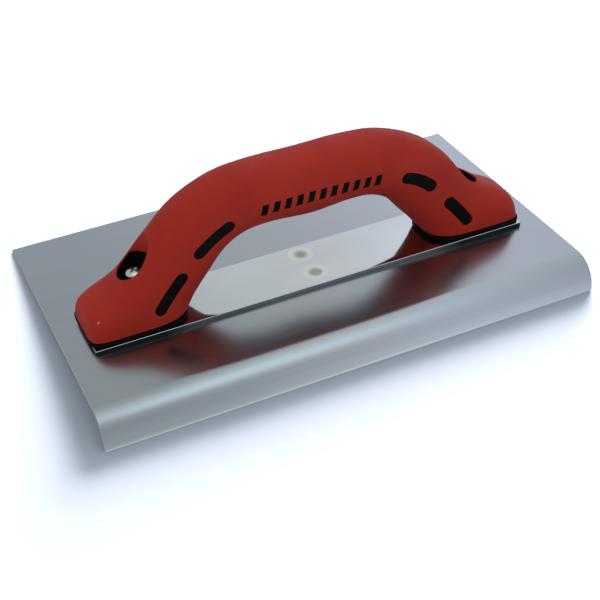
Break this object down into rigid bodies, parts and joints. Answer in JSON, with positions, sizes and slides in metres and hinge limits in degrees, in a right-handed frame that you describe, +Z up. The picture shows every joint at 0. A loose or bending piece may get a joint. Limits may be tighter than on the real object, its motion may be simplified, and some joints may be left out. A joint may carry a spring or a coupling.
{
  "type": "concrete hand edger",
  "caption": "Hand edger for fresh concrete: flat stainless blade with one long edge bent to a rounded lip, and a soft-grip arch handle screwed to a mounting plate.",
  "frame": {"origin": "on the blade's flat underside, straight below the middle of the handle", "axes": "+X along the blade, +Y from the bent lip towards the flat long edge, +Z up from the working face through the handle"},
  "size_m": [0.254, 0.1524, 0.0833],
  "materials": {
    "stainless_steel": "satin rolled sheet",
    "polished_steel": "mirror-like",
    "black_plastic": "matte moulded",
    "red_rubber": "matte soft moulded",
    "zinc_steel": "bright zinc",
    "plain_steel": "plain"
  },
  "bodies": {
    "root": {"blade": "stainless_steel", "mounting_plate": "polished_steel", "handle_core": "black_plastic", "grip_cover": "red_rubber", "screw_left": "zinc_steel", "screw_right": "zinc_steel", "weld_nut_left": "plain_steel", "weld_nut_right": "plain_steel"}
  },
  "joints": []
}
